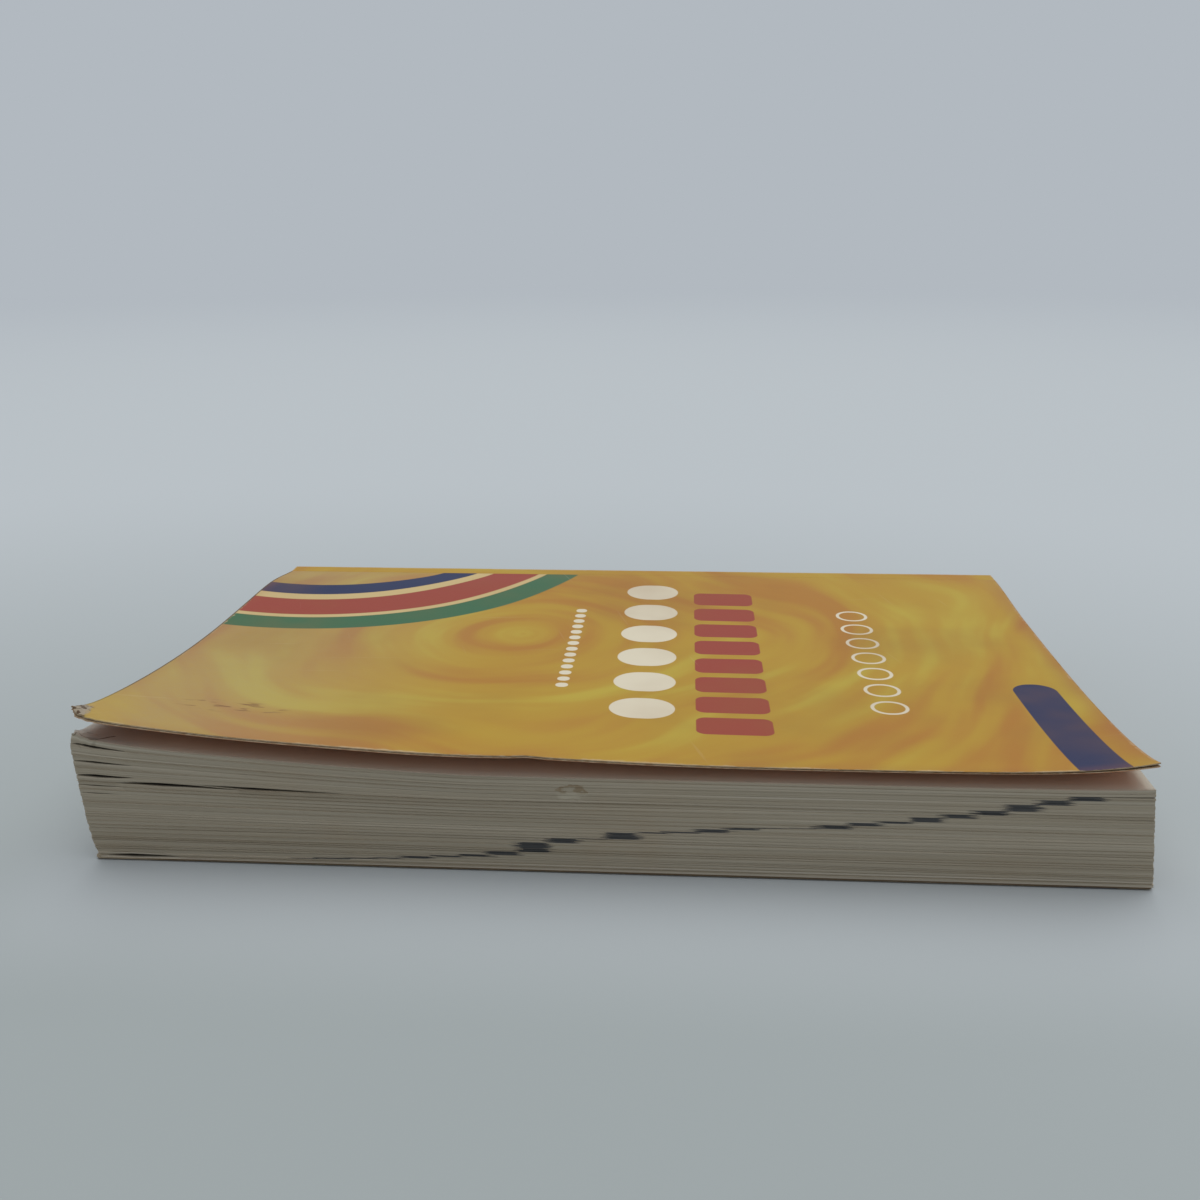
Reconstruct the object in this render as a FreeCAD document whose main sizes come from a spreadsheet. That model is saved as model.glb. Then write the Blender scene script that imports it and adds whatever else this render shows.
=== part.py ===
import FreeCAD, Part
import math
import os
import Sketcher

# A worn paperback lying on its back cover, seen from its fore-edge.
# X runs from the tail (foot) to the head of the book, Y from the fore-edge to the spine, Z up.
# The origin is the middle of the back cover's outer face. Sizes are in millimetres.

SIZES = [
    ("book_length", 234.0, "tail to head"),
    ("book_width", 156.0, "fore-edge to the outside of the spine"),
    ("spine_stack", 23.5, "height of the glued leaves at the spine"),
    ("fore_stack", 22.4, "height of the leaves where nothing swells them"),
    ("swell_reach", 40.0, "how far the swelling of the glued spine reaches into the leaves"),
    ("card", 0.3, "thickness of the cover card"),
    ("crease_card", 0.2, "thickness of the front cover where its score is pressed"),
    ("glue_film", 0.4, "thickness of the adhesive on the spine"),
    ("hinge_strip", 6.0, "width of the cover glued to the first and last leaf"),
    ("spine_bend", 0.45, "outside radius where the cover folds round the spine"),
    ("crease_gap", 0.05, "clearance between a cover and the strip that it hinges on"),
    ("corner_wear", 1.2, "rounding of the back cover's loose corners"),
    ("leaf_skew", 2.3, "how far the top leaf's fore-edge is cocked towards the tail"),
    ("foot_tuck", 1.3, "how far the last leaves are pushed in at the tail"),
    ("foot_tuck_height", 2.5, "height over which that tuck fades out"),
    ("curl_rise", 5.8, "lift of the top leaf at the tail corner of the fore-edge"),
    ("curl_length", 88.0, "distance from the tail at which the curl begins"),
    ("curl_sharing", 2.4, "power by which a lower leaf curls less than the top one"),
    ("top_sharing", 14.0, "power by which the lift of the corners stays with the top leaves"),
    ("head_rise", 0.6, "lift of the top leaf at the head corner of the fore-edge"),
    ("head_rise_reach", 9.0, "distance over which that lift fades out"),
    ("dog_ear_rise", 2.0, "extra lift of the top leaves at the very corner"),
    ("dog_ear_size", 7.0, "distance over which the dog-ear fades out"),
    ("clump_count", 17.0, "clumps that the leaf edges have settled into"),
    ("clump_unevenness", 0.42, "how unlike the clumps' thicknesses are, as a share"),
    ("clump_setback", 0.16, "how far a clump's edge may stand back"),
    ("groove_depth", 0.45, "depth of the groove between two clumps"),
    ("groove_gap", 0.16, "height of that groove"),
    ("milling_depth", 0.1, "depth of the grooves under the adhesive"),
    ("split_depth", 7.0, "depth of the widest split at the tail corner"),
    ("split_place", 0.785, "height of the widest split, as a share of the stack"),
    ("lesser_split_place", 0.66, "height about which the lesser splits lie, as a share of the stack"),
    ("lesser_split", 0.35, "how wide and deep the lesser splits are, as a share of the widest"),
    ("split_gap", 0.75, "opening of the widest split at the tail corner"),
    ("split_length", 58.0, "length of the widest split along the fore-edge"),
    ("split_reach", 34.0, "length of the widest split along the tail"),
    ("leaf_clearance", 0.3, "least clearance of the front cover over the top leaf"),
    ("rim_lift", 2.0, "lift of the front cover's fore-edge at its middle"),
    ("head_lift", 2.9, "extra lift of its corner at the head"),
    ("head_lift_reach", 21.0, "distance over which that lift fades out"),
    ("tail_lift", 3.1, "extra lift of its corner at the tail"),
    ("tip_lift", 1.0, "sharp upturn of the worn tip at the tail"),
    ("tip_loss", 2.0, "card lost from that tip, and taken up by its curl"),
    ("hump_rise", 2.6, "hump of the cover's tail edge near the crease"),
    ("hump_reach", 30.0, "distance of that hump from the crease"),
]

doc = FreeCAD.newDocument("paperback")
sheet = doc.addObject("Spreadsheet::Sheet", "Sizes")
for row, (alias, value, note) in enumerate(SIZES, 1):
    sheet.set(f"A{row}", alias)
    sheet.set(f"B{row}", str(value))
    sheet.setAlias(f"B{row}", alias)
    sheet.set(f"C{row}", note)
doc.recompute()


def size(alias):
    """One size of the sheet as a number."""
    return float(sheet.get(alias))


def clip(value):
    """The value, held between 0 and 1."""
    return min(1.0, max(0.0, value))


def ease(value):
    """A smooth step from 0 to 1."""
    held = clip(value)
    return held * held * (3 - 2 * held)


# Sketches and pads: the parts of the cover that stay flat, and the adhesive.

def new_body(label):
    """An empty body that carries this label."""
    body = doc.addObject("PartDesign::Body", label)
    body.Label = label
    return body


def sketch_on(body, plane, name):
    """A new sketch on one of the body's own origin planes."""
    sketch = body.newObject("Sketcher::SketchObject", name)
    support = next(item for item in body.Origin.OriginFeatures if item.Role == plane)
    sketch.AttachmentSupport = [(support, "")]
    sketch.MapMode = "FlatFace"
    return sketch


def outline(sketch, corners, places):
    """Closed outline through the corners, each placed from the origin by its two expressions."""
    count = len(corners)
    for i in range(count):
        start = FreeCAD.Vector(*corners[i], 0)
        end = FreeCAD.Vector(*corners[(i + 1) % count], 0)
        sketch.addGeometry(Part.LineSegment(start, end), False)
    for i in range(count):
        sketch.addConstraint(Sketcher.Constraint("Coincident", i, 2, (i + 1) % count, 1))
    for i in range(count):
        for kind, value, place in zip(("DistanceX", "DistanceY"), corners[i], places[i]):
            index = sketch.addConstraint(Sketcher.Constraint(kind, -1, 1, i, 1, value))
            name = f"{kind.lower()}_{i}"
            sketch.renameConstraint(index, name)
            sketch.setExpression(f"Constraints.{name}", place)


def pad_along(body, sketch, length, name):
    """Pad of the sketch by the expression, the same to both sides of its plane."""
    pad = body.newObject("PartDesign::Pad", name)
    pad.Profile = sketch
    pad.setExpression("Length", length)
    pad.Midplane = True
    return pad


half_length = size("book_length") / 2
spine_face = size("book_width") / 2
glue_face = spine_face - size("card")
leaf_face = glue_face - size("glue_film")
crease = spine_face - size("hinge_strip")
stack_foot = size("card")
stack_top = stack_foot + size("spine_stack")
cover_top = stack_top + size("card")

SPINE = "Sizes.book_width / 2"
GLUE = SPINE + " - Sizes.card"
LEAF = GLUE + " - Sizes.glue_film"
CREASE = SPINE + " - Sizes.hinge_strip"
FOOT = "Sizes.card"
TOP = FOOT + " + Sizes.spine_stack"
OUTSIDE = TOP + " + Sizes.card"
ZERO = "0 * Sizes.card"

# The back cover lies flat under the leaves, from its crease to the fore-edge.
back_cover = new_body("back_cover")
back_outline = sketch_on(back_cover, "YZ_Plane", "back_cover_section")
back_edge = -spine_face
back_crease = crease - size("crease_gap")
BACK_EDGE = "-(" + SPINE + ")"
BACK_CREASE = CREASE + " - Sizes.crease_gap"
outline(
    back_outline,
    [(back_edge, 0), (back_crease, 0), (back_crease, stack_foot), (back_edge, stack_foot)],
    [(BACK_EDGE, ZERO), (BACK_CREASE, ZERO), (BACK_CREASE, FOOT), (BACK_EDGE, FOOT)],
)
pad_along(back_cover, back_outline, "Sizes.book_length", "back_cover_panel")
doc.recompute()


def standing_edges(shape, y_place):
    """Names of the edges that stand upright at this Y."""
    names = []
    for index, edge in enumerate(shape.Edges, 1):
        ends = [vertex.Point for vertex in edge.Vertexes]
        upright = abs(ends[0].z - ends[1].z) > size("card") / 2
        if upright and all(abs(end.y - y_place) < size("crease_gap") for end in ends):
            names.append(f"Edge{index}")
    return names


loose_corners = back_cover.newObject("PartDesign::Fillet", "worn_corners")
panel = doc.getObject("back_cover_panel")
loose_corners.Base = (panel, standing_edges(panel.Shape, back_edge))
loose_corners.setExpression("Radius", "Sizes.corner_wear")

# The spine of the cover: one card folded round the back, glued to the first and last leaf up to the crease.
cover_spine = new_body("cover_spine")
spine_section = sketch_on(cover_spine, "YZ_Plane", "cover_spine_section")
outline(
    spine_section,
    [
        (crease, 0),
        (spine_face, 0),
        (spine_face, cover_top),
        (crease, cover_top),
        (crease, stack_top),
        (glue_face, stack_top),
        (glue_face, stack_foot),
        (crease, stack_foot),
    ],
    [
        (CREASE, ZERO),
        (SPINE, ZERO),
        (SPINE, OUTSIDE),
        (CREASE, OUTSIDE),
        (CREASE, TOP),
        (GLUE, TOP),
        (GLUE, FOOT),
        (CREASE, FOOT),
    ],
)
pad_along(cover_spine, spine_section, "Sizes.book_length", "folded_card")
doc.recompute()


def long_edges(shape, y_place, z_places):
    """Names of the edges that run tail to head at this Y and one of these heights."""
    names = []
    for index, edge in enumerate(shape.Edges, 1):
        ends = [vertex.Point for vertex in edge.Vertexes]
        runs = abs(ends[0].x - ends[1].x) > half_length
        placed = abs(ends[0].y - y_place) < size("crease_gap")
        level = any(abs(ends[0].z - place) < size("crease_gap") for place in z_places)
        if runs and placed and level:
            names.append(f"Edge{index}")
    return names


bends = cover_spine.newObject("PartDesign::Fillet", "spine_bends")
folded = doc.getObject("folded_card")
bends.Base = (folded, long_edges(folded.Shape, spine_face, (0, cover_top)))
bends.setExpression("Radius", "Sizes.spine_bend")

# The adhesive fills the space between the milled leaves and the spine of the cover.
spine_glue = new_body("spine_glue")
glue_section = sketch_on(spine_glue, "YZ_Plane", "spine_glue_section")
outline(
    glue_section,
    [(leaf_face, stack_foot), (glue_face, stack_foot), (glue_face, stack_top), (leaf_face, stack_top)],
    [(LEAF, FOOT), (GLUE, FOOT), (GLUE, TOP), (LEAF, TOP)],
)
pad_along(spine_glue, glue_section, "Sizes.book_length", "glue_film")


# Curved sheets: a sheet is drawn by a net of poles, and a stack by the rims of its sheets.

POLES_LENGTHWISE = 13
POLES_CROSSWISE = 8
CROWDING = 1.5
DEGREE = 3


def pole_shares(count):
    """Shares from 0 to 1, closer together near 0, where the leaves curl most."""
    return [(i / (count - 1)) ** CROWDING for i in range(count)]


def clamped_knots(count):
    """Knots and multiplicities of a clamped cubic with this many poles."""
    spans = count - DEGREE
    knots = [i / spans for i in range(spans + 1)]
    mults = [DEGREE + 1] + [1] * (spans - 1) + [DEGREE + 1]
    return knots, mults


def pole_net(place):
    """Net of poles: place(a, b) gives the point at share a from the tail and b from the fore-edge."""
    across = pole_shares(POLES_CROSSWISE)
    return [[place(a, b) for b in across] for a in pole_shares(POLES_LENGTHWISE)]


def rim_edges(net):
    """The four edges round a net of poles, in order."""
    sides = [
        [row[0] for row in net],
        net[-1],
        [row[-1] for row in net][::-1],
        net[0][::-1],
    ]
    edges = []
    for poles in sides:
        knots, mults = clamped_knots(len(poles))
        curve = Part.BSplineCurve()
        curve.buildFromPolesMultsKnots(poles, mults, knots, False, DEGREE)
        edges.append(curve.toShape())
    return edges


def sheet_face(net):
    """The face drawn by a net of poles."""
    u_knots, u_mults = clamped_knots(len(net))
    v_knots, v_mults = clamped_knots(len(net[0]))
    surface = Part.BSplineSurface()
    surface.buildFromPolesMultsKnots(
        net, u_mults, v_mults, u_knots, v_knots, False, False, DEGREE, DEGREE
    )
    return surface.toShape()


def solid_of_sheets(nets):
    """Solid closed by the lowest and the highest net, with ruled walls from each rim to the next."""
    faces = [sheet_face(nets[0]), sheet_face(nets[-1])]
    rims = [rim_edges(net) for net in nets]
    for lower, upper in zip(rims, rims[1:]):
        for low_edge, high_edge in zip(lower, upper):
            faces.append(Part.makeRuledSurface(low_edge, high_edge))
    shell = Part.makeShell(faces)
    shell.sewShape()
    solid = Part.makeSolid(shell)
    if solid.Volume < 0:
        solid.reverse()
    return solid


# The leaves: uneven clumps with grooves between them, each following the curl at its own height.

ALONG_POWER = 1.3
ACROSS_POWER = 1.5
SPLIT_WIDTH = 0.02
LESSER_WIDTH = 0.05
CLUMP_PHASE = 2.4
SETBACK_PHASE = 5.1

curl_start = size("curl_length") - half_length
loose_width = crease + spine_face


def toward_fore(y):
    """Share of the way from the crease to the fore-edge."""
    return clip((crease - y) / loose_width)


def leaf_level(share, x, y):
    """Height of the leaf at this share of the stack, over the point (x, y)."""
    swelling = 1 - ease((crease - y) / size("swell_reach"))
    stack = size("fore_stack") + (size("spine_stack") - size("fore_stack")) * swelling
    toward_tail = clip((curl_start - x) / size("curl_length"))
    curl = size("curl_rise") * toward_tail ** ALONG_POWER * toward_fore(y) ** ACROSS_POWER
    from_corner = math.hypot(x + half_length, y + spine_face)
    ear = size("dog_ear_rise") * math.exp(-from_corner / size("dog_ear_size")) * toward_fore(y)
    from_head = max(0.0, half_length - size("leaf_skew") - x)
    lift = size("head_rise") * math.exp(-from_head / size("head_rise_reach")) * toward_fore(y)
    level = stack_foot + share * stack
    return level + share ** size("curl_sharing") * curl + share ** size("top_sharing") * (ear + lift)


def leaf_point(share, a, b, tail, fore, plain):
    """Point of the leaf at this share of the stack, set back at the tail, the fore-edge and elsewhere."""
    milled = plain * size("milling_depth") / size("groove_depth")
    y = -spine_face + fore + b * (spine_face + leaf_face - fore - milled)
    straight = -half_length + tail + a * (2 * half_length - tail - plain)
    tuck = size("foot_tuck") * math.exp(-share * size("fore_stack") / size("foot_tuck_height"))
    x = straight + (tuck * (1 - a) - size("leaf_skew") * share) * (1 - b)
    return FreeCAD.Vector(x, y, leaf_level(share, x, y))


def clump_shares():
    """Heights of the grooves, as shares of the stack, with uneven clumps between them."""
    uneven = size("clump_unevenness")
    weights = [1 + uneven * math.sin(CLUMP_PHASE * k + 1) for k in range(int(size("clump_count")))]
    shares = [0.0]
    for weight in weights:
        shares.append(shares[-1] + weight / sum(weights))
    return shares


def split_strength(share):
    """How wide the groove at this height opens at the tail corner: one wide split and lesser ones."""
    wide = math.exp(-((share - size("split_place")) / SPLIT_WIDTH) ** 2)
    lesser = math.exp(-((share - size("lesser_split_place")) / LESSER_WIDTH) ** 2)
    return wide + size("lesser_split") * lesser


def leaf_nets():
    """Nets of every clump and groove from the last leaf to the first."""
    shares = clump_shares()
    last = len(shares) - 1
    nets = []

    def opening(k, a, b):
        along = clip(1 - a * size("book_length") / size("split_length"))
        inward = clip(1 - b * size("book_width") / size("split_reach"))
        gap = size("split_gap") * split_strength(shares[k]) * along * inward
        return (size("groove_gap") + gap) / size("fore_stack") / 2

    def clump_net(k, level, side):
        setback = size("clump_setback") * (1 + math.sin(SETBACK_PHASE * k)) / 2

        def place(a, b):
            inner = 0 if level in (0, last) else side * opening(level, a, b)
            return leaf_point(shares[level] + inner, a, b, setback, setback, setback)

        return pole_net(place)

    def groove_net(level, side):
        deepest = size("split_depth") * split_strength(shares[level])
        plain = size("groove_depth") + size("clump_setback")

        def place(a, b):
            along = clip(1 - a * size("book_length") / size("split_length"))
            inward = clip(1 - b * size("book_width") / size("split_reach"))
            share = shares[level] + side * opening(level, a, b)
            return leaf_point(share, a, b, plain + deepest * inward, plain + deepest * along, plain)

        return pole_net(place)

    for k in range(last):
        nets.append(clump_net(k, k, 1))
        nets.append(clump_net(k, k + 1, -1))
        if k + 1 < last:
            nets.append(groove_net(k + 1, -1))
            nets.append(groove_net(k + 1, 1))
    return nets


text_block = doc.addObject("Part::Feature", "text_block")
text_block.Label = "text_block"
text_block.Shape = solid_of_sheets(leaf_nets())
text_block.Placement = FreeCAD.Placement()

# The front cover: it follows the first leaf with a clearance, and lifts at its fore-edge and corners.

RIM_POWER_TAIL = 3
RIM_POWER_HEAD = 5
TIP_POWER = 40
LOSS_POWER = 6


def cover_lift(a, b):
    """Lift of the cover over its clearance, at share a from the tail and b from the fore-edge."""
    from_head = (1 - a) * size("book_length")
    out = 1 - b
    rim = size("rim_lift") + size("tail_lift") * (1 - a) ** 2
    rim += size("head_lift") * math.exp(-from_head / size("head_lift_reach"))
    from_crease = out * loose_width / size("hump_reach")
    hump = size("hump_rise") * (1 - a) ** 2 * from_crease ** 2 * math.exp(2 - 2 * from_crease)
    tip = size("tip_lift") * ((1 - a) * out) ** TIP_POWER
    rim_power = RIM_POWER_TAIL + (RIM_POWER_HEAD - RIM_POWER_TAIL) * a
    return rim * out ** rim_power + hump + tip


def cover_point(a, b, side):
    """Point of the cover's inside (side 0) or outside (side 1)."""
    cocked = (size("leaf_skew") - size("tip_loss") * (1 - a) ** LOSS_POWER) * (1 - b)
    x = -half_length + a * 2 * half_length - cocked
    y = -spine_face + b * (loose_width - size("crease_gap"))
    pressed = math.exp(-(1 - b) * loose_width / size("hinge_strip"))
    thickness = size("card") - (size("card") - size("crease_card")) * pressed
    clearance = size("leaf_clearance") * (1 - pressed) + (size("card") - size("crease_card")) * pressed
    under = leaf_level(1.0, x, y) + clearance + cover_lift(a, b)
    return FreeCAD.Vector(x, y, under + side * thickness)


front_cover = doc.addObject("Part::Feature", "front_cover")
front_cover.Label = "front_cover"
front_cover.Shape = solid_of_sheets(
    [pole_net(lambda a, b, side=side: cover_point(a, b, side)) for side in (0, 1)]
)
front_cover.Placement = FreeCAD.Placement()

doc.recompute()

NODES = [text_block, spine_glue, cover_spine, front_cover, back_cover]
for item in doc.Objects:
    if {"Invalid", "Error"} & set(item.State):
        raise RuntimeError(f"{item.Name} has not been built")
os.makedirs("parts", exist_ok=True)
for node in NODES:
    if node.Shape.isNull() or not node.Shape.isValid() or len(node.Shape.Solids) != 1:
        raise RuntimeError(f"{node.Label} is not one valid solid")
for node in NODES:
    node.Shape.exportStep(f"parts/{node.Label}.step")
    box = node.Shape.BoundBox
    print(node.Label, round(node.Shape.Volume, 1), box)
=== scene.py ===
import math
import bpy
import numpy as np
from mathutils import Matrix


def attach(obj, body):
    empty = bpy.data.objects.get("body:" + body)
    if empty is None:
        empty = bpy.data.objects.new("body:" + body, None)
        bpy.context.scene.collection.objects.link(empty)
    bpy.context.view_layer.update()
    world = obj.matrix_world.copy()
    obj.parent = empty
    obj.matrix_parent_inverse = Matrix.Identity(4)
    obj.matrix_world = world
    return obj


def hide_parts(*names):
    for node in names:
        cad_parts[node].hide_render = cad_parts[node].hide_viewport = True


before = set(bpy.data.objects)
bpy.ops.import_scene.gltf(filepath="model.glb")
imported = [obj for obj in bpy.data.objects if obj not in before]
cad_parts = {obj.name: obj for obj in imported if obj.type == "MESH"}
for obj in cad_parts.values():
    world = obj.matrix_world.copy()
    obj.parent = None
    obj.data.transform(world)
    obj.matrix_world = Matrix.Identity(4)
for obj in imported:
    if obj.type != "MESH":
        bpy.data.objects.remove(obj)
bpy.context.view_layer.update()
MM = 0.001


# Camera: held low in front of the fore-edge, a little towards the head, looking slightly down and
# turned and rolled a little. The lens is that of an ordinary phone, on a square frame.

CAMERA_PLACE = np.array([15.4, -312.8, 138.3]) * MM
CAMERA_PITCH = math.radians(17.68)
CAMERA_YAW = math.radians(-4.10)
CAMERA_ROLL = math.radians(-0.43)
CAMERA_LENS = 36.165


def camera_axes(pitch, yaw, roll):
    """Right, up and forward of a camera turned by yaw, tipped down by pitch and then rolled."""
    flat = math.cos(pitch)
    forward = np.array([math.sin(yaw) * flat, math.cos(yaw) * flat, -math.sin(pitch)])
    level = np.array([math.cos(yaw), -math.sin(yaw), 0.0])
    upright = np.cross(level, forward)
    right = math.cos(roll) * level + math.sin(roll) * upright
    up = -math.sin(roll) * level + math.cos(roll) * upright
    return right, up, forward


camera_right, camera_up, camera_forward = camera_axes(CAMERA_PITCH, CAMERA_YAW, CAMERA_ROLL)
camera_matrix = np.eye(4)
camera_matrix[:3] = np.stack([camera_right, camera_up, -camera_forward, CAMERA_PLACE], 1)
camera_data = bpy.data.cameras.new("camera")
camera_data.lens = CAMERA_LENS
camera_data.clip_start = 0.01
camera = bpy.data.objects.new("camera", camera_data)
camera.matrix_world = Matrix(camera_matrix.tolist())
bpy.context.scene.collection.objects.link(camera)
bpy.context.scene.camera = camera
bpy.context.scene.view_settings.view_transform = "Standard"


# Table: one wide pale sheet that fades into a room of the same colour. Painted shade darkens it in
# front of the book, but for a strip of painted light that stands for the light its leaves throw on it.
# The back cover can be seen opened flat on it.

TABLE_LEVEL = -0.4 * MM
TABLE_HALF = 12.0


class Shade:
    """A socket of a material. Arithmetic on it adds Math nodes, and node() adds a node of any kind."""

    def __init__(self, tree, socket=None):
        self.tree = tree
        self.socket = socket

    def node(self, kind, settings=None, inputs=None, output=0):
        """A new node: its settings and ramp stops first, then the values or links of its sockets."""
        made = self.tree.nodes.new(kind)
        for name, value in (settings or {}).items():
            if name == "stops":
                ramp = made.color_ramp.elements
                for place, grey in value[1:-1]:
                    ramp.new(place)
                for element, (place, grey) in zip(ramp, value):
                    element.position = place
                    element.color = (grey, grey, grey, 1.0)
                made.color_ramp.interpolation = "CONSTANT"
            else:
                setattr(made, name, value)
        for name, value in (inputs or {}).items():
            if isinstance(value, Shade):
                self.tree.links.new(value.socket, made.inputs[name])
            else:
                made.inputs[name].default_value = value
        return Shade(self.tree, made.outputs[output] if made.outputs else None)

    def math(self, operation, first, second=0.0):
        return self.node("ShaderNodeMath", {"operation": operation}, {0: first, 1: second})

    def __add__(self, other):
        return self.math("ADD", self, other)

    __radd__ = __add__

    def __sub__(self, other):
        return self.math("SUBTRACT", self, other)

    def __rsub__(self, other):
        return self.math("SUBTRACT", other, self)

    def __mul__(self, other):
        return self.math("MULTIPLY", self, other)

    __rmul__ = __mul__

    def __truediv__(self, other):
        return self.math("DIVIDE", self, other)

    def __pow__(self, other):
        return self.math("POWER", self, other)

    def __abs__(self):
        return self.math("ABSOLUTE", self)

    def larger(self, other):
        return self.math("MAXIMUM", self, other)

    def smaller(self, other):
        return self.math("MINIMUM", self, other)

    def step(self, start, end):
        """A smooth step, 0 at start and 1 at end, where start may also lie above end."""
        inputs = {"Value": self, "From Min": start, "From Max": end}
        return self.node("ShaderNodeMapRange", {"interpolation_type": "SMOOTHSTEP"}, inputs)

    def paint(self, under, over):
        """Colour that is under where this mask is 0 and over where it is 1."""
        inputs = {"Factor": self, 6: under, 7: over}
        return self.node("ShaderNodeMix", {"data_type": "RGBA"}, inputs, output=2)


def colour(red, green, blue):
    """A colour as it looks on a screen, 0 to 255, as the linear values that a socket takes."""
    screen = np.array([red, green, blue]) / 255
    linear = np.where(screen <= 0.04045, screen / 12.92, ((screen + 0.055) / 1.055) ** 2.4)
    return (*linear.tolist(), 1.0)


def new_finish(name):
    """A new material with an empty tree, and the x, y and z of a point in the book's own frame."""
    material = bpy.data.materials.new(name)
    material.use_nodes = True
    material.node_tree.nodes.clear()
    start = Shade(material.node_tree)
    place = start.node("ShaderNodeTexCoord", output=3)
    return material, *[start.node("ShaderNodeSeparateXYZ", None, {0: place}, output=k) for k in range(3)]


def new_piece(name, points, faces, smooth, material):
    """An object from an (n, 3) array of points and an (m, 4) array of faces, each smooth or flat."""
    mesh = bpy.data.meshes.new(name)
    mesh.vertices.add(len(points))
    mesh.vertices.foreach_set("co", points.astype(np.float32).ravel())
    mesh.loops.add(faces.size)
    mesh.loops.foreach_set("vertex_index", faces.astype(np.int32).ravel())
    mesh.polygons.add(len(faces))
    mesh.polygons.foreach_set("loop_start", np.arange(len(faces), dtype=np.int32) * 4)
    mesh.polygons.foreach_set("use_smooth", np.broadcast_to(smooth, len(faces)).copy())
    mesh.update(calc_edges=True)
    mesh.materials.append(material)
    piece = bpy.data.objects.new(name, mesh)
    bpy.context.scene.collection.objects.link(piece)
    return piece


TABLE_SHADED = colour(160, 167, 167)
TABLE_FAR = colour(187, 193, 196)
SHADE_PLACE = (-0.09, -0.27)
SHADE_REACH = (0.12, 0.62)
STRIP_BEGINS = (-135 * MM, -82 * MM)
STRIP_STOPS = (-30 * MM, -80 * MM)
STRIP_ENDS = (150 * MM, 105 * MM)
STRIP_SHARE = 0.85
ROOM_SEEN = colour(178, 185, 192)
ROOM_STARTS = 0.5
ROOM_ENDS = 2.2
table_finish, x, y, z = new_finish("pale_table")
# Painted shade: the table is darker near a place in front of the book.
from_front = ((x - SHADE_PLACE[0]) ** 2.0 + (y - SHADE_PLACE[1]) ** 2.0) ** 0.5
table_colour = from_front.step(*SHADE_REACH).paint(TABLE_SHADED, TABLE_FAR)
# Painted light: a strip in front of the book is painted as pale as the far table, for the light that the
# leaves throw on it.
painted_light_strip = y.step(*STRIP_BEGINS) * y.step(*STRIP_STOPS) * abs(x).step(*STRIP_ENDS)
table_colour = (painted_light_strip * STRIP_SHARE).paint(table_colour, TABLE_FAR)
sheet_inputs = {"Base Color": table_colour, "Roughness": 0.8, "Specular IOR Level": 0.1}
sheet = x.node("ShaderNodeBsdfPrincipled", None, sheet_inputs)
haze = x.node("ShaderNodeEmission", None, {"Color": ROOM_SEEN, "Strength": 1.0})
distance = (x ** 2.0 + y ** 2.0) ** 0.5
faded = distance.step(ROOM_STARTS, ROOM_ENDS)
blended = x.node("ShaderNodeMixShader", None, {0: faded, 1: sheet, 2: haze})
x.node("ShaderNodeOutputMaterial", None, {"Surface": blended})
table_x = TABLE_HALF * np.array([-1.0, 1.0, 1.0, -1.0])
table_y = TABLE_HALF * np.array([-1.0, -1.0, 1.0, 1.0])
table_points = np.stack([table_x, table_y, np.full(4, TABLE_LEVEL)], 1)
table = new_piece("table", table_points, np.arange(4)[None], False, table_finish)


# Light: one broad soft lamp above and a little behind the book, so that the cover is bright and the
# fore-edge in open shade, and a pale room that a camera and a glossy film see at its full brightness.

LAMP_LEVEL = 0.67
LAMP_SPREAD = math.radians(80)
LAMP_TILT = (math.radians(-22), math.radians(4), 0.0)
ROOM_LIGHT = 0.40
ROOM_TINT = colour(240, 245, 252)

room = bpy.data.worlds.new("room")
room.use_nodes = True
room.node_tree.nodes.clear()
start = Shade(room.node_tree)
seen = start.node("ShaderNodeLightPath", output=0)
for path in (3, 6):
    seen = seen.larger(start.node("ShaderNodeLightPath", output=path))
lit = start.node("ShaderNodeBackground", None, {"Color": ROOM_TINT, "Strength": ROOM_LIGHT})
shown = start.node("ShaderNodeBackground", None, {"Color": ROOM_SEEN, "Strength": 1.0})
both = start.node("ShaderNodeMixShader", None, {0: seen, 1: lit, 2: shown})
start.node("ShaderNodeOutputWorld", None, {"Surface": both})
bpy.context.scene.world = room
lamp_data = bpy.data.lights.new("soft_lamp", "SUN")
lamp_data.energy = LAMP_LEVEL * math.pi
lamp_data.angle = LAMP_SPREAD
lamp = bpy.data.objects.new("soft_lamp", lamp_data)
lamp.rotation_euler = LAMP_TILT
bpy.context.scene.collection.objects.link(lamp)


# Leaves: about 240 leaves of uncoated paper, glued at the spine and trimmed together. In use they have
# settled into uneven clumps, the upper ones cocked towards the tail and curled up at its corner.

BOOK_LENGTH = 234 * MM
BOOK_WIDTH = 156 * MM
CARD = 0.3 * MM
GLUE_FILM = 0.4 * MM
HINGE_STRIP = 6 * MM
SPINE_STACK = 23.5 * MM
FORE_STACK = 22.4 * MM
SWELL_REACH = 40 * MM
LEAF_SKEW = 2.3 * MM
FOOT_TUCK = 1.3 * MM
FOOT_TUCK_HEIGHT = 2.5 * MM
CURL_RISE = 5.8 * MM
CURL_LENGTH = 88 * MM
CURL_ALONG_POWER = 1.3
CURL_ACROSS_POWER = 1.5
CURL_HEIGHT_POWER = 2.4
TOP_LEAVES_POWER = 14
CRUMPLED_LEAVES_POWER = 40
WORN_LEAVES_POWER = 36
DOG_EAR_RISE = 2.0 * MM
DOG_EAR_SIZE = 7 * MM
TIP_WEAR = 0.7 * MM
TIP_WEAR_REACH = 1.6 * MM
HEAD_RISE = 0.6 * MM
HEAD_RISE_REACH = 9 * MM
CRUMPLE = 0.55 * MM
CRUMPLE_REACH = 5 * MM
TIP_FOLDS = ((2.4 * MM, 0.5 * MM), (5.6 * MM, 0.7 * MM))
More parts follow.
